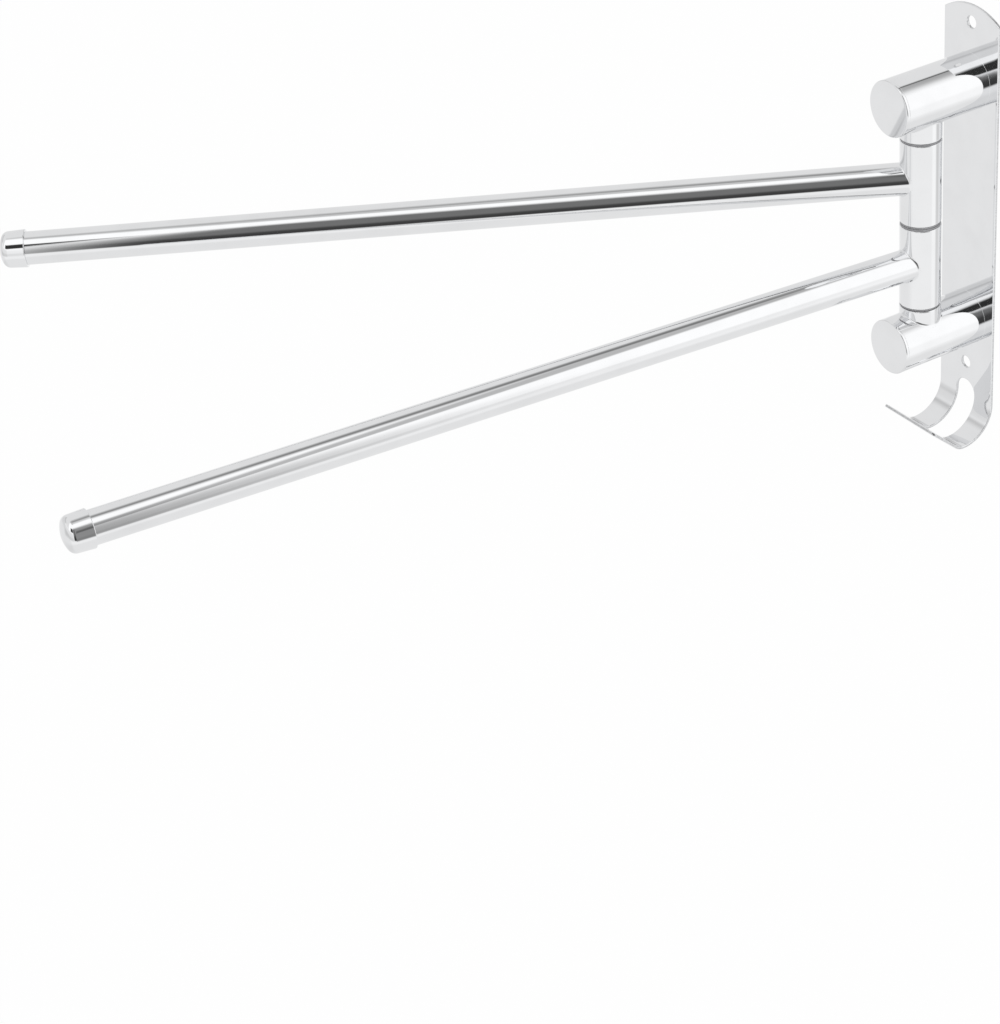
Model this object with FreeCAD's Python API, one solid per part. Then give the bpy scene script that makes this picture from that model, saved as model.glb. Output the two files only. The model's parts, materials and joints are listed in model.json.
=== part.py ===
"""Swing arm towel bar: a pressed wall plate with a hook, two bosses, a pivot post and two swinging arms.

Millimetres, +Z up. The wall is the plane y = 0 and the room is on the -Y side.
The origin is on the wall, midway between the two wall screw holes.
The arms stand as they hang in the room: the upper one swung to the left, the lower one almost straight out.
"""

import FreeCAD, Part
import math
import os

Vector = FreeCAD.Vector
Rotation = FreeCAD.Rotation
ACROSS = Vector(1, 0, 0)
OUT = Vector(0, -1, 0)
UP = Vector(0, 0, 1)

# ---- wall plate, pressed from polished sheet
plate_width = 30.4
plate_thickness = 1.2
screw_spacing = 143.8  # between the centres of the two wall screw holes
screw_hole_diameter = 5.0
top_corner_above_screw = 2.2  # the plate's top corners, over the upper hole
top_rise = 4.6  # the arched top, over its corners

# ---- hook, curled out of the plate's lower end. Radii are those of the sheet's back face.
hook_below_screw = 13.6  # where the curl starts, under the lower hole
hook_radius = 14.5
lift_radius = 6.5
lift_angle = 41.5
lip_length = 16.0
lip_corner_radius = 2.0
slot_width = 10.5
slot_above_curl = 0.4  # the centre of the slot's upper round end, over the start of the curl
slot_to_lip = 3.6  # bar left between the slot and the lip's edge

# ---- bosses, welded to the plate
boss_diameter = 22.0
boss_wall = 1.5
boss_past_post = 15.6  # from the pivot's axis to the end of the cap
boss_spacing = 100.0
boss_middle = -1.25  # height of the point midway between the bosses
boss_cap_disc = 1.5
boss_cap_edge = 0.4
boss_cap_spigot = 4.0
boss_cap_wall = 1.2

# ---- pivot post
post_standoff = 23.6  # from the plate's face to the pivot's axis
post_diameter = 16.0
upper_collar_height = 4.425  # from the boss's side to the collar's flat face
lower_collar_height = 3.125
rod_slip = 0.05  # radial clearance of the rod in the collars and the bosses
running_slip = 0.05  # radial clearance of the rod in the bushes
running_gap = 0.15  # between two flanges, and between a flange and a collar
sleeve_wall = 1.2
sleeve_edge = 0.3
bush_wall = 1.75
bush_length = 8.0  # the part inside the sleeve
flange_thickness = 0.8
flange_inset = 0.3  # how far the flange lies inside the sleeve's outline

# ---- screws that close the rod's ends, reached through the open bosses before the caps go in
rod_wall = 1.95  # left round the screw's hole in the rod
pivot_screw_length = 16.0
pivot_screw_slip = 0.05
tapping_spare = 4.1  # depth of the hole past the screw's end
screw_head_overhang = 2.0  # how far the head stands out past the shank
screw_head_height = 3.3
screw_socket = 4.0  # across the flats
screw_socket_depth = 2.0
saddle_border = 1.5  # how far the washer stands out past the screw's head
saddle_thickness = 2.0
saddle_seat_gap = 0.1
saddle_bore_slip = 0.2

# ---- arms
arm_reach = 348.7  # from the pivot's axis to the tip of the end cap
arm_diameter = 12.7
arm_wall = 1.0
arm_above_middle = 0.5  # the rail's axis, over the middle of its sleeve
upper_arm_angle = -30.9  # swing from straight out, positive towards +X
lower_arm_angle = -5.2
end_cap_overhang = 0.9  # how far the cap stands out past the rail's side
end_cap_length = 10.3
end_cap_crown = 0.9  # how far the domed end stands out of its rounded corner
end_cap_corner_radius = 3.0
end_cap_lip = 0.3
end_cap_spigot = 9.0
end_cap_wall = 1.1

# ---- places that follow from the sizes
upper_screw_z = screw_spacing / 2
lower_screw_z = -screw_spacing / 2
top_corner_z = upper_screw_z + top_corner_above_screw
top_z = top_corner_z + top_rise
curl_z = lower_screw_z - hook_below_screw
face_y = -plate_thickness
post_y = face_y - post_standoff
boss_end_y = post_y - boss_past_post
upper_boss_z = boss_middle + boss_spacing / 2
lower_boss_z = boss_middle - boss_spacing / 2
boss_bore = boss_diameter - 2 * boss_wall
sleeve_bore = post_diameter - 2 * sleeve_wall
rod_diameter = sleeve_bore - 2 * bush_wall - 2 * running_slip
rod_hole = rod_diameter - 2 * rod_wall
pivot_screw_diameter = rod_hole - 2 * pivot_screw_slip
screw_head_diameter = pivot_screw_diameter + 2 * screw_head_overhang
saddle_diameter = screw_head_diameter + 2 * saddle_border
post_top = upper_boss_z - boss_diameter / 2 - upper_collar_height
post_bottom = lower_boss_z + boss_diameter / 2 + lower_collar_height
sleeve_length = (post_top - post_bottom - 4 * flange_thickness - 3 * running_gap) / 2
lower_sleeve_z = post_bottom + running_gap + flange_thickness
upper_sleeve_z = post_top - running_gap - flange_thickness - sleeve_length
pivot = Vector(0, post_y, 0)


def upright(diameter, low, high):
    """A vertical cylinder on the pivot's axis."""
    return Part.makeCylinder(diameter / 2, high - low, Vector(0, post_y, low), UP)


def outward(diameter, near, far, z):
    """A cylinder square to the wall, over x = 0, from y = near out to y = far."""
    return Part.makeCylinder(diameter / 2, near - far, Vector(0, near, z), OUT)


# ------------------------------------------------------------------ wall plate


def sheet_line(depth, start_z, lip_end):
    """One face of the plate's sheet in side view: edges from start_z down, round the hook, to the lip.

    depth is the distance in from the sheet's back face, and lip_end how far along the lip the line stops.
    """
    lift = math.radians(lift_angle)
    bend_centre = Vector(0, -hook_radius, curl_z)
    lift_centre = Vector(0, -hook_radius, curl_z - hook_radius + lift_radius)
    bend = hook_radius - depth
    rise = lift_radius - depth
    start = Vector(0, -depth, start_z)
    bend_start = Vector(0, -depth, curl_z)
    bend_middle = bend_centre + Vector(0, bend * math.cos(math.pi / 4), -bend * math.sin(math.pi / 4))
    bottom = bend_centre + Vector(0, 0, -bend)
    lift_middle = lift_centre + Vector(0, -rise * math.sin(lift / 2), -rise * math.cos(lift / 2))
    lip_start = lift_centre + Vector(0, -rise * math.sin(lift), -rise * math.cos(lift))
    lip_stop = lip_start + lip_direction() * lip_end
    edges = [
        Part.LineSegment(start, bend_start).toShape(),
        Part.Arc(bend_start, bend_middle, bottom).toShape(),
        Part.Arc(bottom, lift_middle, lip_start).toShape(),
        Part.LineSegment(lip_start, lip_stop).toShape(),
    ]
    return start, edges, lip_stop


def lip_direction():
    lift = math.radians(lift_angle)
    return Vector(0, -math.cos(lift), math.sin(lift))


def sheet_band(width, outer, inner, start_z, lip_end):
    """The curled sheet between two depths, as wide as width, centred on x = 0."""
    back_start, back, back_stop = sheet_line(outer, start_z, lip_end)
    front_start, front, front_stop = sheet_line(inner, start_z, lip_end)
    ends = [
        Part.LineSegment(back_start, front_start).toShape(),
        Part.LineSegment(back_stop, front_stop).toShape(),
    ]
    wire = Part.Wire(Part.__sortEdges__(back + front + ends))
    side = Part.Face(wire)
    side.translate(ACROSS * (-width / 2))
    return side.extrude(ACROSS * width)


def top_waste():
    """What the arched top takes off the plate's square end."""
    arch_radius = (plate_width**2 / 4 + top_rise**2) / (2 * top_rise)
    spare = plate_thickness
    waste = Part.makeBox(
        plate_width + 2 * spare,
        plate_thickness + 2 * spare,
        top_rise + spare,
        Vector(-plate_width / 2 - spare, face_y - spare, top_corner_z),
    )
    arch = outward(2 * arch_radius, 2 * spare, face_y - 2 * spare, top_z - arch_radius)
    return waste.cut(arch)


def hook_slot():
    """The long slot through the hook: straight sides round the curl, a half round at each end."""
    spare = plate_thickness
    round_z = curl_z + slot_above_curl
    round_along_lip = lip_length - slot_to_lip - slot_width / 2
    band = sheet_band(slot_width, -spare, plate_thickness + spare, round_z, round_along_lip)
    top_round = outward(slot_width, spare, face_y - spare, round_z)
    _, _, lip_point = sheet_line(-spare, round_z, round_along_lip)
    through_lip = lip_direction().cross(ACROSS)
    lip_round = Part.makeCylinder(slot_width / 2, plate_thickness + 2 * spare, lip_point, through_lip)
    return band.fuse([top_round, lip_round])


def wall_plate():
    plate = sheet_band(plate_width, 0.0, plate_thickness, top_z, lip_length)
    lip_corners = [
        edge
        for edge in plate.Edges
        if abs(edge.Length - plate_thickness) < 1e-6 and edge.CenterOfMass.z < upper_screw_z
    ]
    plate = plate.makeFillet(lip_corner_radius, lip_corners)
    holes = [outward(screw_hole_diameter, 0, face_y, z) for z in (upper_screw_z, lower_screw_z)]
    return plate.cut([top_waste(), hook_slot()] + holes)


# ------------------------------------------------------------------ bosses


def boss(z, post_side):
    """A tube square to the wall. post_side is -1 if the post is under it and 1 if the post stands on it."""
    cap_y = boss_end_y + boss_cap_disc
    tube = outward(boss_diameter, face_y, cap_y, z).cut(outward(boss_bore, face_y, cap_y, z))
    low, high = sorted([z, z + post_side * boss_diameter])
    return tube.cut(upright(rod_diameter + 2 * rod_slip, low, high))


def boss_cap(z):
    """A disc that closes the boss, with a hollow spigot in its bore."""
    disc_y = boss_end_y + boss_cap_disc
    disc = outward(boss_diameter, disc_y, boss_end_y, z)
    rim = [edge for edge in disc.Edges if abs(edge.CenterOfMass.y - boss_end_y) < 1e-6]
    disc = disc.makeFillet(boss_cap_edge, rim)
    spigot = outward(boss_bore, disc_y + boss_cap_spigot, disc_y, z)
    hollow = outward(boss_bore - 2 * boss_cap_wall, disc_y + boss_cap_spigot, disc_y, z)
    return disc.fuse(spigot.cut(hollow)).removeSplitter()


def collar(boss_z, post_z):
    """The fixed end of the post, from its flat face at post_z to a saddle that fits round the boss."""
    low, high = sorted([post_z, boss_z])
    bored = upright(post_diameter, low, high).cut(upright(rod_diameter + 2 * rod_slip, low, high))
    return bored.cut(outward(boss_diameter, 0, boss_end_y, boss_z))


# ------------------------------------------------------------------ pivot

rod_top = upper_boss_z - boss_bore / 2 - saddle_seat_gap
rod_bottom = lower_boss_z + boss_bore / 2 + saddle_seat_gap


def pivot_rod():
    """The rod that the sleeves turn on, tapped at both ends."""
    depth = pivot_screw_length - saddle_thickness - saddle_seat_gap + tapping_spare
    upper_hole = upright(rod_hole, rod_top - depth, rod_top)
    lower_hole = upright(rod_hole, rod_bottom, rod_bottom + depth)
    return upright(rod_diameter, rod_bottom, rod_top).cut([upper_hole, lower_hole])


def turned_over(shape, boss_z):
    """A piece made for the upper boss, moved to the lower one upside down."""
    low = shape.copy()
    low.rotate(Vector(0, post_y, upper_boss_z), ACROSS, 180)
    low.translate(Vector(0, 0, boss_z - upper_boss_z))
    return low


def saddle_washer():
    """A washer in the upper boss: round underneath to fit the bore, flat on top for the screw's head."""
    seat = upper_boss_z - boss_bore / 2
    disc = upright(saddle_diameter, seat, seat + saddle_thickness)
    bore = outward(boss_bore, post_y + saddle_diameter, post_y - saddle_diameter, upper_boss_z)
    hole = upright(pivot_screw_diameter + 2 * saddle_bore_slip, seat, seat + saddle_thickness)
    return disc.common(bore).cut(hole)


def pivot_screw():
    """A socket head screw down through the saddle washer into the rod's upper end."""
    under_head = upper_boss_z - boss_bore / 2 + saddle_thickness
    head_top = under_head + screw_head_height
    shank = upright(pivot_screw_diameter, under_head - pivot_screw_length, under_head)
    head = upright(screw_head_diameter, under_head, head_top)
    corner = Vector(screw_socket / math.sqrt(3), 0, 0)
    corners = [Rotation(UP, 360 / 6 * i).multVec(corner) + Vector(0, post_y, head_top) for i in range(7)]
    socket = Part.Face(Part.makePolygon(corners)).extrude(UP * -screw_socket_depth)
    return shank.fuse(head).removeSplitter().cut(socket)


# ------------------------------------------------------------------ arms


def sleeve(low):
    tube = upright(post_diameter, low, low + sleeve_length)
    rims = [edge for edge in tube.Edges if edge.Length > post_diameter * 3 and edge.Closed]
    tube = tube.makeChamfer(sleeve_edge, rims)
    return tube.cut(upright(sleeve_bore, low, low + sleeve_length))


def bush(sleeve_end, inward):
    """A flanged bush in one end of a sleeve. inward is 1 if the sleeve lies above that end, -1 if below."""
    body_low, body_high = sorted([sleeve_end, sleeve_end + inward * bush_length])
    flange_low, flange_high = sorted([sleeve_end, sleeve_end - inward * flange_thickness])
    body = upright(sleeve_bore, body_low, body_high)
    flange = upright(post_diameter - 2 * flange_inset, flange_low, flange_high)
    bore = upright(rod_diameter + 2 * running_slip, min(body_low, flange_low), max(body_high, flange_high))
    return body.fuse(flange).removeSplitter().cut(bore)


def arm_tube(z):
    """The rail, straight out, its root coped to fit round the sleeve."""
    tube_end = post_y - arm_reach + end_cap_length
    rail = outward(arm_diameter, post_y, tube_end, z)
    bore = outward(arm_diameter - 2 * arm_wall, post_y, tube_end, z)
    return rail.cut([bore, upright(post_diameter, z - arm_diameter, z + arm_diameter)])


def end_cap(z):
    """The turned cap on an arm's tip: a crowned end, round corners, a shoulder and a hollow spigot."""
    tip = arm_reach
    rim = arm_diameter / 2 + end_cap_overhang
    bore = arm_diameter / 2 - arm_wall
    hollow = bore - end_cap_wall
    shoulder = tip - end_cap_length
    spigot_end = shoulder - end_cap_spigot
    corner = end_cap_corner_radius
    dome = corner + end_cap_crown
    side_end = tip - dome
    corner_centre = Vector(rim - corner, side_end, 0)
    crown = (corner_centre.x**2 + dome**2 - corner**2) / (2 * end_cap_crown)
    crown_centre = Vector(0, tip - crown, 0)
    blend = crown_centre + (corner_centre - crown_centre).normalize() * crown
    half_blend = math.atan2(blend.x, blend.y - crown_centre.y) / 2
    half_corner = (math.pi / 2 + 2 * half_blend) / 2
    crown_middle = crown_centre + Vector(math.sin(half_blend), math.cos(half_blend), 0) * crown
    corner_middle = corner_centre + Vector(math.sin(half_corner), math.cos(half_corner), 0) * corner
    outline = [
        Part.Arc(Vector(0, tip, 0), crown_middle, blend).toShape(),
        Part.Arc(blend, corner_middle, Vector(rim, side_end, 0)).toShape(),
    ]
    corners = [
        Vector(rim, side_end, 0),
        Vector(rim, shoulder + end_cap_lip, 0),
        Vector(rim - end_cap_lip, shoulder, 0),
        Vector(bore, shoulder, 0),
        Vector(bore, spigot_end, 0),
        Vector(hollow, spigot_end, 0),
        Vector(hollow, shoulder, 0),
        Vector(0, shoulder, 0),
        Vector(0, tip, 0),
    ]
    outline += [Part.LineSegment(a, b).toShape() for a, b in zip(corners, corners[1:])]
    turned = Part.Face(Part.Wire(outline)).revolve(Vector(0, 0, 0), Vector(0, 1, 0), 360)
    turned.rotate(Vector(0, 0, 0), UP, 180)
    turned.translate(Vector(0, post_y, z))
    return turned


def arm(name, sleeve_z, angle):
    """The five pieces that swing together, as {node: shape}, turned to where the arm stands."""
    rail_z = sleeve_z + sleeve_length / 2 + arm_above_middle
    pieces = {
        name + "_sleeve": sleeve(sleeve_z),
        name + "_sleeve_top_bush": bush(sleeve_z + sleeve_length, -1),
        name + "_sleeve_bottom_bush": bush(sleeve_z, 1),
        name + "_arm_tube": arm_tube(rail_z),
        name + "_arm_end_cap": end_cap(rail_z),
    }
    for piece in pieces.values():
        piece.rotate(pivot, UP, angle)
    return pieces


# ------------------------------------------------------------------ assembly


def towel_bar():
    washer = saddle_washer()
    screw = pivot_screw()
    pieces = {
        "wall_plate": wall_plate(),
        "upper_boss": boss(upper_boss_z, -1),
        "lower_boss": boss(lower_boss_z, 1),
        "upper_boss_cap": boss_cap(upper_boss_z),
        "lower_boss_cap": boss_cap(lower_boss_z),
        "upper_collar": collar(upper_boss_z, post_top),
        "lower_collar": collar(lower_boss_z, post_bottom),
        "pivot_rod": pivot_rod(),
        "upper_saddle_washer": washer,
        "lower_saddle_washer": turned_over(washer, lower_boss_z),
        "upper_pivot_screw": screw,
        "lower_pivot_screw": turned_over(screw, lower_boss_z),
    }
    pieces.update(arm("upper", upper_sleeve_z, upper_arm_angle))
    pieces.update(arm("lower", lower_sleeve_z, lower_arm_angle))
    return pieces


os.makedirs("parts", exist_ok=True)
for node, shape in towel_bar().items():
    solids = shape.Solids
    assert solids and all(solid.isValid() for solid in solids), node
    whole = solids[0] if len(solids) == 1 else Part.makeCompound(solids)
    whole.exportStep(os.path.join("parts", node + ".step"))
    print(f"{node:28s} solids {len(solids)}  volume {whole.Volume:9.1f} mm3")
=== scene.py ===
"""Swing arm towel bar: polished wall plate with a hook, two bosses, a pivot post and two swinging rails.

Metres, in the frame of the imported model: the wall is the plane y = 0, the room is on the -Y side, +Z is up.
"""

import json
import math

import bmesh
import bpy
from bpy.props import FloatProperty, FloatVectorProperty, IntProperty, PointerProperty
from mathutils import Matrix, Quaternion, Vector


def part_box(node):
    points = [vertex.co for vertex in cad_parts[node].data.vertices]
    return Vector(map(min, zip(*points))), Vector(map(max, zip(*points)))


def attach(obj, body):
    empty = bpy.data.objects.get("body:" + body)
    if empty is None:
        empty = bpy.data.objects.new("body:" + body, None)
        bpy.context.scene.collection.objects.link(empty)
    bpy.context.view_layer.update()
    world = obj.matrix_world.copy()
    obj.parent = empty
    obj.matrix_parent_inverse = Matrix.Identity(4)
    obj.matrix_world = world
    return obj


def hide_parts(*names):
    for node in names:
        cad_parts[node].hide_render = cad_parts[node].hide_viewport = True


bl_info = {
    "name": "Swing Arm Towel Bar",
    "version": (1, 0, 0),
    "blender": (4, 5, 0),
    "location": "View3D > Sidebar > Towel Bar",
    "description": "Dresses a two-arm swinging towel bar in polished steel",
    "category": "Add Mesh",
}

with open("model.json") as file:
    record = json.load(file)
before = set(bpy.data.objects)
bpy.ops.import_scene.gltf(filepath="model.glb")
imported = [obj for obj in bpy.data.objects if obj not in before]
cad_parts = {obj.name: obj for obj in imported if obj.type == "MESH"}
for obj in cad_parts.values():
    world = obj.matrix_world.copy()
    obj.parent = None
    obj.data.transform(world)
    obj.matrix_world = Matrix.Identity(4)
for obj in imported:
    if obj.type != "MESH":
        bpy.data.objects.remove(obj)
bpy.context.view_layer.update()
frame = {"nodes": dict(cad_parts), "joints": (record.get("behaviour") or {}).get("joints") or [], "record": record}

MM = 0.001
RAILS = ("upper", "lower")
BODY_OF = {node: body for body, nodes in frame["record"]["behaviour"]["bodies"].items() for node in nodes}
WALL_SCREWS = frame["record"]["mounts"][0]["dims"]
POLISHED = "polished_steel"
OUT = Vector((0, -1, 0))
UP = Vector((0, 0, 1))
ACROSS = Vector((1, 0, 0))


# ------------------------------------------------------------------ the frame's sizes


def span(node, direction):
    """How far a node reaches along a direction, as (least, most)."""
    reach = [direction.dot(vertex.co) for vertex in frame["nodes"][node].data.vertices]
    return min(reach), max(reach)


def joint(name):
    return next(joint for joint in frame["joints"] if joint["name"] == name + "_arm_swing")


def rail_swing(name):
    """The angle at which a rail stands at rest. Its joint swings as far to each side of straight out."""
    low, high = joint(name)["range_deg"]
    return math.radians(-(low + high) / 2)


def pivot_point(height):
    x, y, _ = joint("upper")["pos_m"]
    return Vector((x, y, height))


# ------------------------------------------------------------------ settings


def length(name, description, millimetres):
    return FloatProperty(
        name=name, description=description, default=millimetres * MM, min=0.0, unit="LENGTH", precision=5
    )


def turn(name, description, degrees):
    return FloatProperty(
        name=name, description=description, default=math.radians(degrees), unit="ROTATION"
    )


def amount(name, description, default):
    return FloatProperty(name=name, description=description, default=default, min=0.0)


def paint(name, description, default):
    return FloatVectorProperty(
        name=name, description=description, default=default, size=3, min=0.0, max=1.0, subtype="COLOR"
    )


class PlateSettings(bpy.types.PropertyGroup):
    top_rise: length("Top rise", "Height of the arched top over its corners", 4.6)
    hook_radius: length("Hook radius", "Radius of the curl at the sheet's back face", 14.5)
    lift_radius: length("Lift radius", "Radius of the hook's rising part at the back face", 6.5)
    lift_angle: turn("Lift angle", "How far the hook's lip leans up from level", 41.5)
    lip_length: length("Lip length", "Straight end of the hook", 16.0)
    lip_corner: length("Lip corner", "Radius of the lip's two corners", 2.0)
    slot_width: length("Slot width", "Width of the slot through the hook", 10.5)
    slot_above_curl: length("Slot above curl", "Centre of the slot's round top over the curl's start", 0.4)
    slot_to_lip: length("Slot to lip", "Bar between the slot and the lip's edge", 3.6)
    edge_round: length("Edge rounding", "Radius left on the sheet's edges by the polishing", 0.25)


class PostSettings(bpy.types.PropertyGroup):
    weld: length("Weld", "Reach of the polished fillets where the tubes meet", 0.6)
    boss_weld: length("Boss weld", "Reach of the fillet where a boss meets the plate", 0.1)
    boss_wall: length("Boss wall", "Wall of the bosses", 1.5)
    boss_cap_disc: length("Boss cap disc", "Thickness of the disc that closes a boss", 1.5)
    boss_cap_wall: length("Boss cap wall", "Wall of the cap's spigot", 1.2)
    boss_cap_edge: length("Boss cap edge", "Rounding of the cap's front edge", 0.4)
    boss_cap_dome: length("Boss cap dome", "How far the cap's crown stands out of its straight side", 0.6)
    seam: length("Seam", "Rounding at the joint of a boss and its cap", 0.05)
    rod_hole: length("Rod hole", "Diameter of the collars' bore", 10.1)
    sleeve_wall: length("Sleeve wall", "Wall of the turning sleeves", 1.2)
    rim_round: length("Rim rounding", "Rounding of the sleeves' and collars' rims", 0.3)
    bush_bore: length("Bush bore", "Diameter of the bushes' bore", 10.1)
    flange: length("Flange", "Thickness of the bushes' flanges", 0.8)


class RailSettings(bpy.types.PropertyGroup):
    wall: length("Rail wall", "Wall of the rails", 1.0)
    cap_dome: length("Cap dome", "How far the cap's end stands out of its straight side", 3.9)
    cap_corner: length("Cap corner", "Radius between the cap's side and its crowned end", 3.0)
    cap_lip: length("Cap lip", "Rounding of the cap's open edge", 0.3)
    cap_draft: length("Cap draft", "How much slimmer the cap's side is at its far end", 0.28)
    cap_wall: length("Cap wall", "Wall of the cap's spigot", 1.1)


class FinishSettings(bpy.types.PropertyGroup):
    steel: paint("Polished steel", "Colour of the polished steel", (0.87, 0.875, 0.885))
    edge: paint("Sheared edge", "Colour of the plate's cut edges", (0.66, 0.665, 0.675))
    machined: paint("Machined steel", "Colour of the rod, screws and washers", (0.60, 0.60, 0.61))
    plastic: paint("Bush plastic", "Colour of the bushes", (0.28, 0.28, 0.29))
    gloss: amount("Roughness", "Roughness of the polished steel", 0.035)


class StageSettings(bpy.types.PropertyGroup):
    camera_place: FloatVectorProperty(
        name="Camera place",
        description="Where the camera stands",
        default=(0.73477, -0.63538, 0.47862),
        size=3,
        subtype="TRANSLATION",
        unit="LENGTH",
    )
    azimuth: turn("Azimuth", "The camera's direction round the post, from straight in front", 60.454)
    elevation: turn("Elevation", "The camera's height over the horizon", 32.281)
    roll: turn("Roll", "The camera's tilt", -5.113)
    lens: FloatProperty(
        name="Lens", description="Focal length on a 36 mm sensor", default=97.37, subtype="DISTANCE_CAMERA"
    )
    floor_drop: length("Floor drop", "How far the floor lies under the wall's origin", 900.0)
    floor_size: length("Floor size", "Side of the floor", 24000.0)
    floor_colour: paint("Floor", "Colour of the floor", (0.93, 0.93, 0.93))


class TowelBarSettings(bpy.types.PropertyGroup):
    plate: PointerProperty(type=PlateSettings)
    post: PointerProperty(type=PostSettings)
    rail: PointerProperty(type=RailSettings)
    finish: PointerProperty(type=FinishSettings)
    stage: PointerProperty(type=StageSettings)
    round_steps: IntProperty(name="Round steps", description="Faces round a tube", default=128, min=12)


def settings():
    return bpy.context.scene.towel_bar


# ------------------------------------------------------------------ shader helpers


class Value:
    """A number in a node tree. Its arithmetic adds Math nodes."""

    def __init__(self, nodes, socket):
        self.nodes = nodes
        self.socket = socket

    def math(self, operation, *values):
        inputs = {i: value for i, value in enumerate(values)}
        node = self.nodes.add("ShaderNodeMath", {"operation": operation}, inputs)
        return Value(self.nodes, node.outputs[0])

    def __add__(self, other):
        return self.math("ADD", self, other)

    __radd__ = __add__

    def __sub__(self, other):
        return self.math("SUBTRACT", self, other)

    def __rsub__(self, other):
        return self.math("SUBTRACT", other, self)

    def __mul__(self, other):
        return self.math("MULTIPLY", self, other)

    __rmul__ = __mul__

    def __truediv__(self, other):
        return self.math("DIVIDE", self, other)

    def least(self, other):
        return self.math("MINIMUM", self, other)

    def most(self, other):
        return self.math("MAXIMUM", self, other)

    def magnitude(self):
        return self.math("ABSOLUTE", self)

    def step(self, start, end):
        """0 up to start, 1 from end, with a smooth slope between. Works downwards too."""
        node = self.nodes.add(
            "ShaderNodeMapRange",
            {"interpolation_type": "SMOOTHSTEP"},
            {"Value": self, "From Min": start, "From Max": end},
        )
        return Value(self.nodes, node.outputs["Result"])


class Nodes:
    """One node tree."""

    def __init__(self, owner):
        owner.use_nodes = True
        self.tree = owner.node_tree
        self.tree.nodes.clear()

    def add(self, kind, settings=None, inputs=None):
        """A new node: its settings first, then the value or link of each socket."""
        node = self.tree.nodes.new(kind)
        for name, value in (settings or {}).items():
            setattr(node, name, value)
        for name, value in (inputs or {}).items():
            if isinstance(value, Value):
                value = value.socket
            if isinstance(value, bpy.types.NodeSocket):
                self.tree.links.new(value, node.inputs[name])
            else:
                node.inputs[name].default_value = value
        return node

    def value(self, kind, output, settings=None, inputs=None):
        return Value(self, self.add(kind, settings, inputs).outputs[output])


def rgba(colour, scale=1.0):
    return (*(min(channel * scale, 1.0) for channel in colour), 1.0)


def stretched(nodes, vector, scale):
    """A vector multiplied by one scale for each axis."""
    node = nodes.add("ShaderNodeVectorMath", {"operation": "MULTIPLY"}, {0: vector, 1: scale})
    return node.outputs["Vector"]


def noise(nodes, vector, scale, detail=2.0):
    """Smooth noise round 0.5."""
    inputs = {"Vector": vector, "Scale": scale, "Detail": detail}
    return nodes.value("ShaderNodeTexNoise", "Fac", None, inputs)


def blended(nodes, factor, first, second):
    node = nodes.add("ShaderNodeMix", {"data_type": "RGBA"}, {0: factor, 6: first, 7: second})
    return node.outputs[2]


def bumped(nodes, height, distance, strength):
    node = nodes.add("ShaderNodeBump", None, {"Height": height, "Distance": distance, "Strength": strength})
    return node.outputs["Normal"]


def surface(nodes, **sockets):
    """The tree's shader and its output. A socket's name has _ for each space."""
    inputs = {name.replace("_", " "): value for name, value in sockets.items()}
    shader = nodes.add("ShaderNodeBsdfPrincipled", None, inputs)
    nodes.add("ShaderNodeOutputMaterial", None, {"Surface": shader.outputs["BSDF"]})


def new_material(name):
    material = bpy.data.materials.new(name)
    return material, Nodes(material)


# ------------------------------------------------------------------ finishes


# how fine each texture is along a piece's own three axes, or all round
POLISHING_LINES = (5200.0, 5200.0, 45.0)
SHEARING_MARKS = (900.0, 200.0, 2600.0)
TURNING_RINGS = (60.0, 60.0, 4200.0)
HAZE, STAIN, RUB, SKIN = 90.0, 160.0, 300.0, 2600.0

# how deep the bumps are
LINE_DEPTH = 0.00025 * MM
MARK_DEPTH = 0.004 * MM
RING_DEPTH = 0.006 * MM
SKIN_DEPTH = 0.01 * MM

# the slow waves that polishing leaves in each kind of piece, as (length, height)
WAVES = {
    "plate": (60.0 * MM, 0.012 * MM),
    "boss": (30.0 * MM, 0.002 * MM),
    "boss_cap": (12.0 * MM, 0.003 * MM),
    "collar": (20.0 * MM, 0.001 * MM),
    "sleeve": (25.0 * MM, 0.0015 * MM),
    "rail": (45.0 * MM, 0.002 * MM),
    "rail_cap": (20.0 * MM, 0.001 * MM),
}


def grain_of(nodes):
    """Where each point lies in its piece's own space."""
    return nodes.add("ShaderNodeAttribute", {"attribute_name": "grain"}).outputs["Vector"]


def polished_steel(kind):
    """Mirror-polished steel: fine lines along the grain, faint haze and a slow waviness."""
    finish = settings().finish
    wave_length, wave_height = WAVES[kind]
    material, nodes = new_material(kind + "_steel")
    grain = grain_of(nodes)
    lines = noise(nodes, stretched(nodes, grain, POLISHING_LINES), 1.0)
    haze = noise(nodes, grain, HAZE, 4.0)
    waves = noise(nodes, grain, 1.0 / wave_length, 1.0)
    colour = blended(nodes, haze.step(0.35, 0.75), rgba(finish.steel), rgba(finish.steel, 0.97))
    roughness = finish.gloss * (0.6 + 0.5 * haze + 0.5 * lines)
    height = waves * wave_height + lines * LINE_DEPTH
    surface(
        nodes,
        Base_Color=colour,
        Metallic=1.0,
        Roughness=roughness,
        Normal=bumped(nodes, height, 1.0, 1.0),
    )
    return material


def sheared_edge():
    """The plate's cut edges: duller than its faces, with short marks across the thickness."""
    finish = settings().finish
    material, nodes = new_material("sheared_edge")
    grain = grain_of(nodes)
    marks = noise(nodes, stretched(nodes, grain, SHEARING_MARKS), 1.0, 3.0)
    colour = blended(nodes, marks.step(0.3, 0.7), rgba(finish.edge, 0.85), rgba(finish.edge, 1.1))
    surface(
        nodes,
        Base_Color=colour,
        Metallic=1.0,
        Roughness=0.22 + 0.12 * marks,
        Normal=bumped(nodes, marks, MARK_DEPTH, 1.0),
    )
    return material


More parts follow.
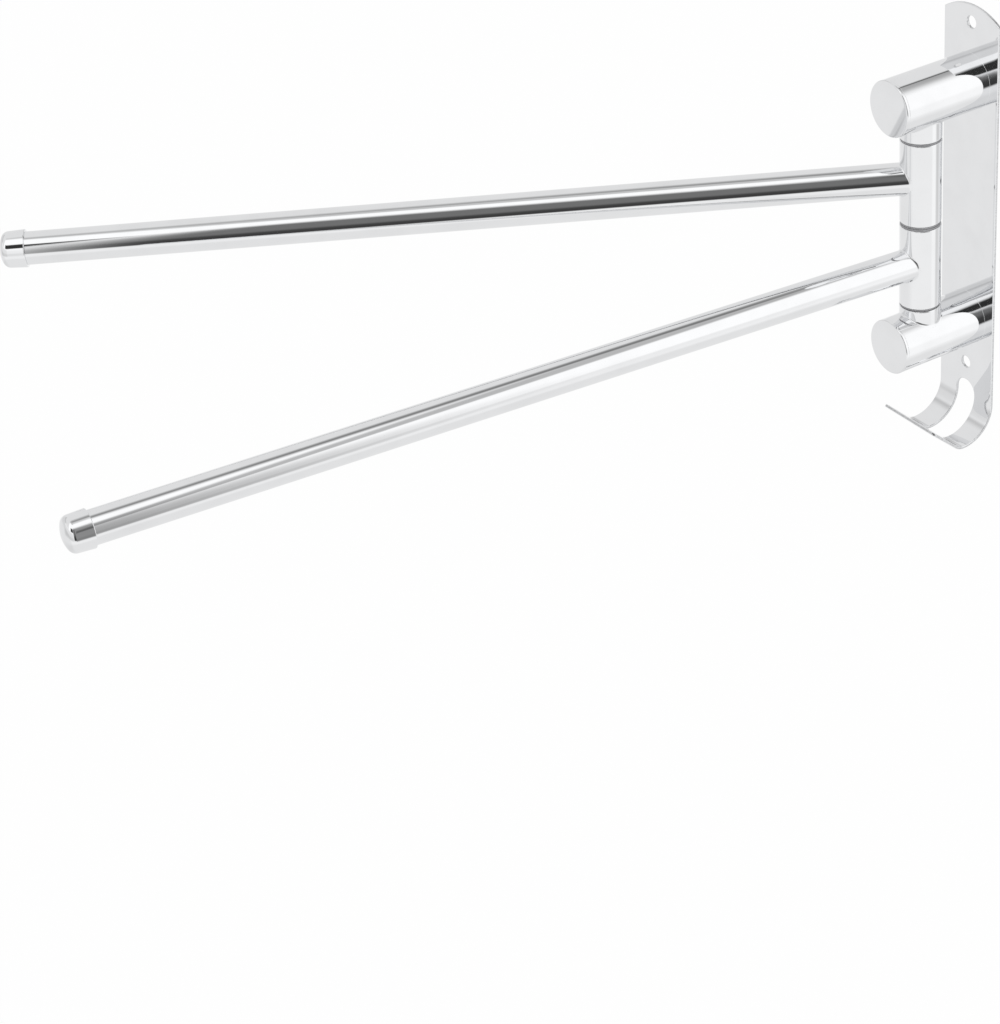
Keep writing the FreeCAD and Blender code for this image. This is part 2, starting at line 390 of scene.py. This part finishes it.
def machined_steel():
    """Turned steel with fine rings along its length."""
    finish = settings().finish
    material, nodes = new_material("machined_steel")
    place = nodes.add("ShaderNodeTexCoord").outputs["Object"]
    rings = noise(nodes, stretched(nodes, place, TURNING_RINGS), 1.0, 3.0)
    stain = noise(nodes, place, STAIN, 4.0)
    colour = blended(nodes, stain, rgba(finish.machined, 0.86), rgba(finish.machined, 1.08))
    surface(
        nodes,
        Base_Color=colour,
        Metallic=1.0,
        Roughness=0.24 + 0.14 * rings,
        Normal=bumped(nodes, rings, RING_DEPTH, 1.0),
    )
    return material


def bush_plastic():
    """Moulded grey plastic with a fine matt skin."""
    finish = settings().finish
    material, nodes = new_material("bush_plastic")
    place = nodes.add("ShaderNodeTexCoord").outputs["Object"]
    skin = noise(nodes, place, SKIN, 2.0)
    rub = noise(nodes, place, RUB, 3.0)
    colour = blended(nodes, rub.step(0.4, 0.8), rgba(finish.plastic), rgba(finish.plastic, 1.25))
    surface(
        nodes,
        Base_Color=colour,
        Roughness=0.42 + 0.16 * rub,
        Normal=bumped(nodes, skin, SKIN_DEPTH, 1.0),
    )
    return material


# ------------------------------------------------------------------ mesh helpers


SAME_POINT = 0.0001 * MM  # points closer than this are one
SHARP_ANGLE = math.radians(38.0)  # faces that meet at more than this keep a sharp edge


def arc(centre, radius, start, end, steps):
    """Points on a circle in a plane, from one angle to another."""
    angles = [start + (end - start) * i / steps for i in range(steps + 1)]
    return [Vector((centre[0] + radius * math.cos(a), centre[1] + radius * math.sin(a))) for a in angles]


def rounded(corners, steps=6):
    """A closed outline through corners (x, y, radius), each rounded by its own radius."""
    outline = []
    for i, (x, y, radius) in enumerate(corners):
        here = Vector((x, y))
        if not radius:
            outline.append(here)
            continue
        back = (Vector(corners[i - 1][:2]) - here).normalized()
        ahead = (Vector(corners[(i + 1) % len(corners)][:2]) - here).normalized()
        half = back.angle(ahead) / 2
        centre = here + (back + ahead).normalized() * (radius / math.sin(half))
        first = here + back * (radius / math.tan(half)) - centre
        last = here + ahead * (radius / math.tan(half)) - centre
        start = math.atan2(first.y, first.x)
        sweep = (math.atan2(last.y, last.x) - start + math.pi) % (2 * math.pi) - math.pi
        outline += arc(centre, radius, start, start + sweep, steps)
    return outline


def quarter_turn(steps):
    return [math.pi / 2 * i / steps for i in range(steps + 1)]


def ring(radius, height, steps):
    """Points round the local Z axis. The radius and height may change with the angle."""
    points = []
    for i in range(steps):
        angle = 2 * math.pi * i / steps
        r = radius(angle) if callable(radius) else radius
        z = height(angle) if callable(height) else height
        points.append(Vector((r * math.cos(angle), r * math.sin(angle), z)))
    return points


def loft(bm, rings):
    """Joins rings of points with quads, and the last ring back to the first."""
    rows = [[bm.verts.new(point) for point in points] for points in rings]
    for row, following in zip(rows, rows[1:] + rows[:1]):
        for i in range(len(row)):
            bm.faces.new((row[i - 1], row[i], following[i], following[i - 1]))


def lathe(outline):
    """A closed outline of (radius, height) turned round the local Z axis."""
    bm = bmesh.new()
    loft(bm, [ring(point.x, point.y, settings().round_steps) for point in outline])
    return bm


def to_mesh(bm, name, place):
    """The finished mesh. Where each point lies in the piece's own space is kept as its grain."""
    bmesh.ops.remove_doubles(bm, verts=bm.verts, dist=SAME_POINT)
    grain = bm.verts.layers.float_vector.new("grain")
    for vertex in bm.verts:
        vertex[grain] = vertex.co
        vertex.co = place(vertex.co)
    bmesh.ops.recalc_face_normals(bm, faces=bm.faces)
    mesh = bpy.data.meshes.new(name)
    bm.to_mesh(mesh)
    bm.free()
    for polygon in mesh.polygons:
        polygon.use_smooth = True
    mesh.set_sharp_from_angle(angle=SHARP_ANGLE)
    return mesh


def dress(name, bm, place, node, slot_name, *materials):
    """Makes a piece that stands for a node, moves with its body and takes the finishes it is given. The slot's
    name is not used.
    """
    mesh = to_mesh(bm, name, place if callable(place) else lambda point: place @ point)
    for material in materials:
        mesh.materials.append(material)
    piece = bpy.data.objects.new(name, mesh)
    bpy.context.scene.collection.objects.link(piece)
    weighted = piece.modifiers.new("even_normals", "WEIGHTED_NORMAL")
    weighted.keep_sharp = True
    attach(piece, BODY_OF[node])
    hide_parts(node)
    return piece


def axes(origin, z_axis, x_axis):
    """The matrix of a local frame with these Z and X directions."""
    y_axis = z_axis.cross(x_axis)
    matrix = Matrix((x_axis, y_axis, z_axis)).transposed().to_4x4()
    matrix.translation = origin
    return matrix


def centre_of(node):
    low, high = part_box(node)
    return (low + high) / 2


# ------------------------------------------------------------------ wall plate


ARCH_ROWS = 10
HOLE_ROWS = 24
ROUND_END_ROWS = 14
STRETCH_ROWS = (24, 40, 24, 6)  # the flat, the curl, the lift and the lip
LEAST_ROW_GAP = 0.002 * MM
SAME_SHEET_POINT = 0.0002 * MM
COLUMNS = 8  # faces across each half of the sheet
EDGE_STEPS = 4
LEAST_CORNER_SLANT = 0.5  # keeps the step at a sharp corner short


class Sheet:
    """The plate's sheet laid out flat and drawn in by a margin.

    Across is x, and along runs down from the sheet's top.
    """

    def __init__(self, margin):
        plate = settings().plate
        self.hook, self.lift, self.lift_angle = plate.hook_radius, plate.lift_radius, plate.lift_angle
        low, high = span("wall_plate", ACROSS)
        self.half = (high - low) / 2 - margin
        bottom, self.top = span("wall_plate", UP)
        self.curl = self.top - bottom - self.hook
        lip = self.curl + self.hook * math.pi / 2 + self.lift * self.lift_angle
        self.end = lip + plate.lip_length - margin
        self.corner = plate.lip_corner - margin
        full = (high - low) / 2
        self.arch_centre = (full**2 + plate.top_rise**2) / (2 * plate.top_rise)
        self.arch = self.arch_centre - margin
        self.shoulder = self.arch_centre - math.sqrt(self.arch**2 - self.half**2)
        self.slot_half = plate.slot_width / 2 + margin
        self.slot_start = self.curl - plate.slot_above_curl
        self.slot_end = lip + plate.lip_length - plate.slot_to_lip - plate.slot_width / 2
        self.hole = WALL_SCREWS["hole_r_mm"] * MM + margin
        spacing = WALL_SCREWS["spacing_y_mm"] * MM
        self.holes = [self.top - spacing / 2, self.top + spacing / 2]
        self.bends = [self.curl, self.curl + self.hook * math.pi / 2, lip]

    def outer(self, along):
        """Half the sheet's width at a place along it."""
        if along < self.shoulder:
            return math.sqrt(max(self.arch**2 - (self.arch_centre - along) ** 2, 0.0))
        into_corner = along - (self.end - self.corner)
        if into_corner > 0:
            return self.half - self.corner + math.sqrt(max(self.corner**2 - into_corner**2, 0.0))
        return self.half

    def inner(self, along):
        """Half the width of the hole or slot there, or 0."""
        for hole in self.holes:
            if abs(along - hole) < self.hole:
                return math.sqrt(self.hole**2 - (along - hole) ** 2)
        past = max(self.slot_start - along, along - self.slot_end, 0.0)
        if past < self.slot_half:
            return math.sqrt(self.slot_half**2 - past**2)
        return 0.0

    def stations(self):
        """Places along the sheet where it gets a row of points, closer together at round ends and bends."""
        start = self.arch_centre - self.arch
        arch = self.shoulder - start
        places = [start + arch * (1 - math.cos(a)) for a in quarter_turn(ARCH_ROWS)]
        for hole in self.holes:
            places += [hole - self.hole * math.cos(math.pi * i / HOLE_ROWS) for i in range(HOLE_ROWS + 1)]
        quarter = quarter_turn(ROUND_END_ROWS)
        places += [self.slot_start - self.slot_half * math.cos(a) for a in quarter]
        places += [self.slot_end + self.slot_half * math.sin(a) for a in quarter]
        places += [self.end - self.corner * (1 - math.sin(a)) for a in quarter]
        stops = [self.shoulder, *self.bends, self.end - self.corner]
        for first, last, count in zip(stops, stops[1:], STRETCH_ROWS):
            places += [first + (last - first) * i / count for i in range(count + 1)]
        places.sort()
        return [p for p, following in zip(places, places[1:] + [math.inf]) if following - p > LEAST_ROW_GAP]

    def curled(self, point):
        """Where a point (across, depth from the back face, along) of the flat sheet lies in the room."""
        across, depth, along = point
        curl_z = self.top - self.curl
        if along <= self.curl:
            return Vector((across, -depth, self.top - along))
        bend = (along - self.curl) / self.hook
        if bend <= math.pi / 2:
            radius = self.hook - depth
            return Vector((across, -self.hook + radius * math.cos(bend), curl_z - radius * math.sin(bend)))
        past_bend = along - self.curl - self.hook * math.pi / 2
        lift = min(past_bend / self.lift, self.lift_angle)
        past_lift = past_bend - self.lift * lift
        radius = self.lift - depth
        y = -self.hook - radius * math.sin(lift) - past_lift * math.cos(lift)
        z = curl_z - self.hook + self.lift - radius * math.cos(lift) + past_lift * math.sin(lift)
        return Vector((across, y, z))


def flat_sheet(bm, outline, depth):
    """One face of the sheet, flat, with its holes and slot left open. It looks towards +depth."""
    for side in (-1, 1):
        rows = []
        for along in outline.stations():
            inner, outer = outline.inner(along), outline.outer(along)
            across = [side * (inner + (outer - inner) * i / COLUMNS) for i in range(COLUMNS + 1)]
            rows.append([bm.verts.new((x, depth, along)) for x in across])
        for row, following in zip(rows, rows[1:]):
            for i in range(COLUMNS):
                corners = [row[i], following[i], following[i + 1], row[i + 1]]
                bm.faces.new(corners if side > 0 else reversed(corners))
    bmesh.ops.remove_doubles(bm, verts=bm.verts, dist=SAME_SHEET_POINT)


def open_loops(bm):
    """The edges of the sheet's face as loops of vertices, each with the face on the same hand."""
    following = {}
    for edge in bm.edges:
        if len(edge.link_faces) == 1:
            loop = edge.link_loops[0]
            following[loop.vert] = loop.link_loop_next.vert
    loops = []
    while following:
        start, here = following.popitem()
        loop = [start]
        while here != start:
            loop.append(here)
            here = following.pop(here)
        loops.append(loop)
    return loops


def outward_steps(loop):
    """For each vertex of a loop, the step in the sheet's plane that moves the edge out by 1."""
    facing = Vector((0, 1, 0))
    steps = []
    for i, vertex in enumerate(loop):
        back = (vertex.co - loop[i - 1].co).normalized()
        ahead = (loop[(i + 1) % len(loop)].co - vertex.co).normalized()
        normal = (back.cross(facing) + ahead.cross(facing)).normalized()
        steps.append(normal / max(normal.dot(back.cross(facing)), LEAST_CORNER_SLANT))
    return steps


def wall_plate_shape():
    """The sheet still flat, with its thickness and rounded edges. Its local axes are across, depth, along."""
    thickness = -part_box("upper_boss")[1].y
    edge = settings().plate.edge_round
    bm = bmesh.new()
    flat_sheet(bm, Sheet(edge), thickness)
    rounds = [(edge * math.sin(a), edge * (1 - math.cos(a))) for a in quarter_turn(EDGE_STEPS)]
    profile = [(out, thickness - down) for out, down in rounds] + rounds[::-1]
    for loop in open_loops(bm):
        steps = outward_steps(loop)
        rows = []
        for out, depth in profile:
            places = [(v.co.x + s.x * out, depth, v.co.z + s.z * out) for v, s in zip(loop, steps)]
            rows.append([bm.verts.new(place) for place in places])
        for k, (row, following) in enumerate(zip(rows, rows[1:])):
            for i in range(len(row)):
                face = bm.faces.new((row[i - 1], row[i], following[i], following[i - 1]))
                face.material_index = 1 if k == len(rounds) - 1 else 0
    flat_sheet(bm, Sheet(edge), 0.0)
    return bm


class TOWEL_BAR_OT_wall_plate(bpy.types.Operator):
    """Make the wall plate with its arched top, screw holes and slotted hook"""

    bl_idname = "towel_bar.wall_plate"
    bl_label = "Wall Plate"

    def execute(self, context):
        faces, edge = polished_steel("plate"), sheared_edge()
        dress("wall_plate_sheet", wall_plate_shape(), Sheet(0.0).curled, "wall_plate", POLISHED, faces, edge)
        return {"FINISHED"}


# ------------------------------------------------------------------ bosses


WELD_STEPS = 8
CROWN_STEPS = 16
CORNER_STEPS = 12
SEAM_STEPS = 6


def boss_shape(node):
    """A boss tube from the plate out, with its polished weld at the plate."""
    post = settings().post
    near, far = span(node, OUT)
    low, high = span(node, ACROSS)
    radius, reach, weld = (high - low) / 2, far - near, post.boss_weld
    bore = radius - post.boss_wall
    outline = [Vector((bore, 0.0))]
    outline += arc((radius + weld, weld), weld, -math.pi / 2, -math.pi, WELD_STEPS)
    corners = [(bore, 0.0, 0.0), (radius, 0.0, 0.0), (radius, reach, post.seam), (bore, reach, 0.0)]
    return lathe(outline + rounded(corners)[2:])


def crowned_end(tip, rim, dome, corner):
    """An outline from the axis over a crowned end and a round corner to the side, dome behind the tip."""
    corner_x, side = rim - corner, tip - dome
    crown = (corner_x**2 + dome**2 - corner**2) / (2 * (dome - corner))
    blend = math.atan2(side - (tip - crown), corner_x)
    outline = arc((0.0, tip - crown), crown, math.pi / 2, blend, CROWN_STEPS)
    return outline + arc((corner_x, side), corner, blend, 0.0, CORNER_STEPS)[1:]


def boss_cap_shape(node):
    """The cap's disc, mirror-bright and very slightly crowned, and the spigot behind it."""
    post = settings().post
    near, far = span(node, OUT)
    low, high = span(node, ACROSS)
    radius, disc = (high - low) / 2, far - near - post.boss_cap_disc
    bore = radius - post.boss_wall
    hollow = bore - post.boss_cap_wall
    outline = crowned_end(far - near, radius, post.boss_cap_dome, post.boss_cap_edge)
    outline += arc((radius - post.seam, disc + post.seam), post.seam, 0.0, -math.pi / 2, SEAM_STEPS)
    outline += [Vector((bore, disc)), Vector((bore, 0.0)), Vector((hollow, 0.0))]
    outline += [Vector((hollow, disc)), Vector((0.0, disc))]
    return lathe(outline)


class TOWEL_BAR_OT_bosses(bpy.types.Operator):
    """Make the two bosses and the caps that close them"""

    bl_idname = "towel_bar.bosses"
    bl_label = "Bosses"

    def execute(self, context):
        parts = (
            ("_boss", boss_shape, polished_steel("boss")),
            ("_boss_cap", boss_cap_shape, polished_steel("boss_cap")),
        )
        for name in RAILS:
            height = centre_of(name + "_boss").z
            for part, shape, steel in parts:
                node = name + part
                place = axes(Vector((0, -span(node, OUT)[0], height)), OUT, ACROSS)
                dress(node + "_polished", shape(node), place, node, POLISHED, steel)
        return {"FINISHED"}


# ------------------------------------------------------------------ tubes that meet another tube


RIM_STEPS = 4
SIDE_ROWS = 12
BUSH_CORNER_STEPS = 3


def branch(radius, bore, host_radius, end, rim):
    """A tube along local Z, from its saddle on a host tube along local X out to a flat end."""
    steps = settings().round_steps
    weld = settings().post.weld
    foot = radius + weld

    def host(r):
        return lambda angle: math.sqrt(host_radius**2 - (r * math.sin(angle)) ** 2)

    def fillet_height(t):
        # a quadratic curve from the tube's side, by way of the joint, to the host's side
        def height(angle):
            joint_height = host(radius)(angle)
            start, last = joint_height + weld, host(foot)(angle)
            return start * (1 - t) ** 2 + joint_height * 2 * t * (1 - t) + last * t**2

        return height

    def straight_height(t):
        return lambda angle: (end - rim) + (host(radius)(angle) + weld - end + rim) * t

    rings = []
    for a in quarter_turn(RIM_STEPS):
        rings.append(ring(radius - rim + rim * math.sin(a), end - rim + rim * math.cos(a), steps))
    rings += [ring(radius, straight_height(i / SIDE_ROWS), steps) for i in range(1, SIDE_ROWS)]
    for i in range(WELD_STEPS + 1):
        t = i / WELD_STEPS
        rings.append(ring(radius + weld * t**2, fillet_height(t), steps))
    rings += [ring(bore, host(bore), steps), ring(bore, end, steps)]
    bm = bmesh.new()
    loft(bm, rings)
    return bm


class TOWEL_BAR_OT_collars(bpy.types.Operator):
    """Make the two fixed collars between the bosses and the sleeves"""

    bl_idname = "towel_bar.collars"
    bl_label = "Collars"

    def execute(self, context):
        post = settings().post
        steel = polished_steel("collar")
        for name, direction in zip(RAILS, (-UP, UP)):
            node = name + "_collar"
            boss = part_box(name + "_boss")
            low, high = span(node, ACROSS)
            origin = pivot_point(centre_of(name + "_boss").z)
            end = span(node, direction)[1] - direction.dot(origin)
            host_radius = (boss[1].x - boss[0].x) / 2
            shape = branch((high - low) / 2, post.rod_hole / 2, host_radius, end, post.rim_round)
            dress(node + "_polished", shape, axes(origin, direction, OUT), node, POLISHED, steel)
        return {"FINISHED"}


class TOWEL_BAR_OT_sleeves(bpy.types.Operator):
    """Make the two turning sleeves of the post and the flanged bushes in their ends"""

    bl_idname = "towel_bar.sleeves"
    bl_label = "Sleeves and Bushes"

    def execute(self, context):
        post = settings().post
        steel = polished_steel("sleeve")
        plastic = bush_plastic()
        for name in RAILS:
            node = name + "_sleeve"
            low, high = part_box(node)
            radius = (high.x - low.x) / 2
            bore = radius - post.sleeve_wall
            corners = [
                (bore, low.z, 0.0),
                (radius, low.z, post.rim_round),
                (radius, high.z, post.rim_round),
                (bore, high.z, 0.0),
            ]
            swing = Matrix.Translation(pivot_point(0)) @ Matrix.Rotation(rail_swing(name), 4, "Z")
            dress(node + "_polished", lathe(rounded(corners)), swing, node, POLISHED, steel)
            for end, flange_end in (("_top_bush", 1), ("_bottom_bush", 0)):
                shape = bush_shape(node + end, flange_end, bore)
                dress(node + end + "_moulded", shape, swing, node + end, "bush_plastic", plastic)
        return {"FINISHED"}


def bush_shape(node, flange_end, body_radius):
    """A bush with its flange at the top (flange_end 1) or the bottom (0)."""
    post = settings().post
    low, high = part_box(node)
    radius, bore = (high.x - low.x) / 2, post.bush_bore / 2
    ends = [low.z, high.z]
    flange = ends[flange_end]
    under = flange + (post.flange if flange_end == 0 else -post.flange)
    soft = post.seam * 2
    corners = [
        (bore, ends[1 - flange_end], 0.0),
        (body_radius, ends[1 - flange_end], soft),
        (body_radius, under, 0.0),
        (radius, under, soft),
        (radius, flange, soft),
        (bore, flange, soft),
    ]
    return lathe(rounded(corners, BUSH_CORNER_STEPS))


# ------------------------------------------------------------------ rails


LIP_STEPS = 5


def rail_direction(name):
    return Matrix.Rotation(rail_swing(name), 3, "Z") @ OUT


def rail_reach(node, direction):
    """How far a rail's piece reaches from the pivot's axis, as (least, most)."""
    start = direction.dot(pivot_point(0))
    low, high = span(node, direction)
    return low - start, high - start


def rail_cap_shape(name, direction):
    """The turned cap: a crowned end, round corners, a slightly drafted side and a spigot in the rail."""
    rail = settings().rail
    spigot_end, tip = rail_reach(name + "_arm_end_cap", direction)
    shoulder = rail_reach(name + "_arm_tube", direction)[1]
    low, high = span(name + "_arm_end_cap", UP)
    rim = (high - low) / 2
    low, high = span(name + "_arm_tube", UP)
    bore = (high - low) / 2 - rail.wall
    hollow = bore - rail.cap_wall
    outline = crowned_end(tip, rim - rail.cap_draft, rail.cap_dome, rail.cap_corner)
    lip = rail.cap_lip
    outline += [Vector((rim, shoulder + lip))]
    outline += arc((rim - lip, shoulder + lip), lip, 0.0, -math.pi / 2, LIP_STEPS)[1:]
    outline += [Vector((bore, shoulder)), Vector((bore, spigot_end)), Vector((hollow, spigot_end))]
    outline += [Vector((hollow, shoulder)), Vector((0.0, shoulder))]
    return lathe(outline)


class TOWEL_BAR_OT_rails(bpy.types.Operator):
    """Make the two rails, coped and welded to their sleeves, and their end caps"""

    bl_idname = "towel_bar.rails"
    bl_label = "Rails"

    def execute(self, context):
        rail = settings().rail
        tube_steel, cap_steel = polished_steel("rail"), polished_steel("rail_cap")
        for name in RAILS:
            node = name + "_arm_tube"
            direction = rail_direction(name)
            low, high = span(node, UP)
            radius = (high - low) / 2
            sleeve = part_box(name + "_sleeve")
            sleeve_radius = (sleeve[1].x - sleeve[0].x) / 2
            end = rail_reach(node, direction)[1]
            shape = branch(radius, radius - rail.wall, sleeve_radius, end, settings().post.seam)
            place = axes(pivot_point((low + high) / 2), direction, UP)
            dress(name + "_rail_polished", shape, place, node, POLISHED, tube_steel)
            cap = rail_cap_shape(name, direction)
            dress(name + "_rail_cap_polished", cap, place, name + "_arm_end_cap", POLISHED, cap_steel)
        return {"FINISHED"}


# ------------------------------------------------------------------ pieces inside the post


class TOWEL_BAR_OT_pivot(bpy.types.Operator):
    """Give the rod, saddle washers and screws their machined finish"""

    bl_idname = "towel_bar.pivot"
    bl_label = "Pivot"

    def execute(self, context):
        steel = machined_steel()
        nodes = ["pivot_rod"] + [name + part for name in RAILS for part in ("_saddle_washer", "_pivot_screw")]
        for node in nodes:
            for material_slot in frame["nodes"][node].material_slots:
                material_slot.material = steel
        return {"FINISHED"}


# ------------------------------------------------------------------ stage


WHITE = (1.0, 1.0, 1.0, 1.0)
MIRRORED_WHITE = 1.13  # the studio's white as mirrors show it, a little over the 1 that the camera sees
FLOOR_GLOW = 0.9  # the part of the floor that is plain white to the camera. The rest keeps the shadow.
SENSOR_WIDTH = 36.0  # mm
NEAREST, FARTHEST = 0.05, 50.0

# dark parts of the studio, in degrees: left, right, bottom and top edge, each as (outside, inside)
UNLIT_SIDE = ((-45, -38.5), (-14, -18), (-20, -11), (63, 45))
GREY_BEYOND = ((-22, -18), (20, 3), (-25, -14.5), (64, 49))
BLACK_SCREEN = ((-76, -69), (-42.5, -45), (25, 30), (53, 47))


def studio_light(nodes):
    """How bright the studio is in each direction, for the steel to mirror. X, Y, Z are the room's axes.

    Each dark part is a smooth shape, times how much of the light it takes away. Bearings and heights are
    in degrees. The shapes are fitted to where polished steel of this form looks dark from the main view.
    """
    direction = nodes.add("ShaderNodeTexCoord").outputs["Generated"]
    split = nodes.add("ShaderNodeSeparateXYZ", None, {0: direction}).outputs
    x, y, z = (Value(nodes, split[i]) for i in range(3))
    degree = math.pi / 180
    bearing = nodes.value("ShaderNodeMath", 0, {"operation": "ARCTAN2"}, {0: y, 1: x}) / degree
    height = nodes.value("ShaderNodeMath", 0, {"operation": "ARCSINE"}, {0: z}) / degree

    def patch(left, right, bottom, top):
        """1 inside four soft edges, each as (outside, inside)."""
        return bearing.step(*left) * bearing.step(*right) * height.step(*bottom) * height.step(*top)

    # the unlit side of the studio, grey beyond its right edge, and a black screen to its left
    unlit = patch(*UNLIT_SIDE) * (0.95 - 0.11 * height.step(2, 20))
    beyond = patch(*GREY_BEYOND) * 0.75
    screen = patch(*BLACK_SCREEN) * 0.97
    far_wall = bearing.step(-125, -140) * height.step(-12, 4) * height.step(42, 25) * 0.33

    # a broad grey screen straight in front and another straight behind, for views from the sides
    front = y.step(-0.62, -0.8) * z.step(-0.4, -0.25) * z.step(0.5, 0.25) * 0.26
    behind = y.step(0.62, 0.76) * z.step(-0.6, -0.4) * z.step(0.55, 0.35) * 0.3

    # the ceiling, seen as a flat sheet: a dark beam, the shade round its rear end,
    # a grey joint and a grey centre
    over = z.step(0.35, 0.5)
    up = z.most(0.3)
    u, v = x / up, y / up
    beam_side = (u + 0.12 - 0.058 * v).magnitude() - 0.263 * v
    beam = beam_side.step(0.29, -0.113) * v.step(-0.3, -0.135) * v.step(0.732, 0.494) * 0.815
    beam_end = (u + 0.1).magnitude().step(0.08, 0.03) * 0.8
    shade = u.step(0.85, -0.1) * u.step(-0.24, -0.12) * 0.5
    past_joint = v - (0.508 - 0.252 * u).least(0.538)
    joint = past_joint.magnitude().step(0.162, 0.05) * u.step(-0.2, 0) * 0.518
    centre = (u * u + v * v).step(0.06, 0.007) * 0.459
    dark_ceiling = beam.most(joint).most(centre).most(beam_end.most(shade) * v.step(0.66, 0.72)) * over

    # the rear and left parts are a little darker than the rest
    rear = past_joint.step(0, 0.1) * u.step(0.5, 0.1) * over
    left = (-0.13 - u).step(0, 0.1) * over.most(bearing.step(90, 110) * z.step(-0.15, 0))

    # the lower half is the pale floor, darker close by and to the left, brighter far to the right
    floor = z.step(0.05, -0.15)
    near_floor = z.step(-0.5, -0.7)
    left_floor = (-0.7 * x - 0.586 * y - 0.408 * z).step(0.55, 0.95) * floor
    right_floor = bearing.step(20, 30) * bearing.step(60, 45) * z.step(-0.55, -0.4) * floor
    floor_shade = 0.17 * floor + 0.1 * near_floor + 0.09 * left_floor - 0.1 * right_floor
    level = MIRRORED_WHITE - 0.3 * rear.most(left) - floor_shade
    sides = (1 - unlit) * (1 - beyond) * (1 - screen) * (1 - far_wall)
    return level * sides * (1 - front) * (1 - behind) * (1 - dark_ceiling)


class TOWEL_BAR_OT_stage(bpy.types.Operator):
    """Make the pale floor, the soft studio light and the camera"""

    bl_idname = "towel_bar.stage"
    bl_label = "Stage"

    def execute(self, context):
        self.light(context.scene)
        self.floor(context.scene)
        self.camera(context.scene)
        return {"FINISHED"}

    def light(self, scene):
        """White from all round. Mirrors show the studio: a little brighter, with its dark parts."""
        world = bpy.data.worlds.new("studio")
        scene.world = world
        nodes = Nodes(world)
        path = nodes.add("ShaderNodeLightPath").outputs
        mirrored = Value(nodes, path["Is Glossy Ray"]).most(Value(nodes, path["Is Transmission Ray"]))
        strength = 1 + mirrored * (studio_light(nodes) - 1)
        background = nodes.add("ShaderNodeBackground", None, {"Color": WHITE, "Strength": strength})
        nodes.add("ShaderNodeOutputWorld", None, {"Surface": background.outputs[0]})

    def floor(self, scene):
        """Mirrors don't show the floor, because the studio's lower half stands for it there."""
        stage = settings().stage
        mesh = bpy.data.meshes.new("floor")
        half = stage.floor_size / 2
        corners = [(x * half, y * half, -stage.floor_drop) for x, y in ((-1, -1), (1, -1), (1, 1), (-1, 1))]
        mesh.from_pydata(corners, [], [(0, 1, 2, 3)])
        floor = bpy.data.objects.new("floor", mesh)
        scene.collection.objects.link(floor)
        floor.visible_glossy = False
        material, nodes = new_material("floor_paint")
        mesh.materials.append(material)
        paint_shader = nodes.add("ShaderNodeBsdfDiffuse", None, {"Color": rgba(stage.floor_colour)})
        white = nodes.add("ShaderNodeEmission", None, {"Color": WHITE, "Strength": 1.0})
        path = nodes.add("ShaderNodeLightPath").outputs
        seen = Value(nodes, path["Is Camera Ray"]) * FLOOR_GLOW
        shaders = {0: seen, 1: paint_shader.outputs[0], 2: white.outputs[0]}
        mix = nodes.add("ShaderNodeMixShader", None, shaders)
        nodes.add("ShaderNodeOutputMaterial", None, {"Surface": mix.outputs[0]})

    def camera(self, scene):
        stage = settings().stage
        data = bpy.data.cameras.new("camera")
        data.lens = stage.lens
        data.sensor_width = SENSOR_WIDTH
        data.clip_start, data.clip_end = NEAREST, FARTHEST
        camera = bpy.data.objects.new("camera", data)
        scene.collection.objects.link(camera)
        side, level = math.sin(stage.azimuth), math.cos(stage.elevation)
        back = Vector((side * level, -math.cos(stage.azimuth) * level, math.sin(stage.elevation)))
        roll = Quaternion((0, 0, 1), stage.roll)
        camera.rotation_mode = "QUATERNION"
        camera.rotation_quaternion = (-back).to_track_quat("-Z", "Y") @ roll
        camera.location = stage.camera_place
        scene.camera = camera
        scene.view_settings.view_transform = "Standard"


# ------------------------------------------------------------------ panel and registration


OPERATORS = (
    TOWEL_BAR_OT_wall_plate,
    TOWEL_BAR_OT_bosses,
    TOWEL_BAR_OT_collars,
    TOWEL_BAR_OT_sleeves,
    TOWEL_BAR_OT_rails,
    TOWEL_BAR_OT_pivot,
    TOWEL_BAR_OT_stage,
)


class TOWEL_BAR_PT_panel(bpy.types.Panel):
    """The steps of the towel bar, in order"""

    bl_label = "Towel Bar"
    bl_idname = "TOWEL_BAR_PT_panel"
    bl_space_type = "VIEW_3D"
    bl_region_type = "UI"
    bl_category = "Towel Bar"

    def draw(self, context):
        for operator in OPERATORS:
            self.layout.operator(operator.bl_idname)


CLASSES = (
    PlateSettings,
    PostSettings,
    RailSettings,
    FinishSettings,
    StageSettings,
    TowelBarSettings,
    *OPERATORS,
    TOWEL_BAR_PT_panel,
)


def register():
    for cls in CLASSES:
        bpy.utils.register_class(cls)
    bpy.types.Scene.towel_bar = PointerProperty(type=TowelBarSettings)


def unregister():
    del bpy.types.Scene.towel_bar
    for cls in reversed(CLASSES):
        bpy.utils.unregister_class(cls)


def main():
    register()
    bpy.ops.towel_bar.wall_plate()
    bpy.ops.towel_bar.bosses()
    bpy.ops.towel_bar.collars()
    bpy.ops.towel_bar.sleeves()
    bpy.ops.towel_bar.rails()
    bpy.ops.towel_bar.pivot()
    bpy.ops.towel_bar.stage()


if __name__ == "__main__":
    main()
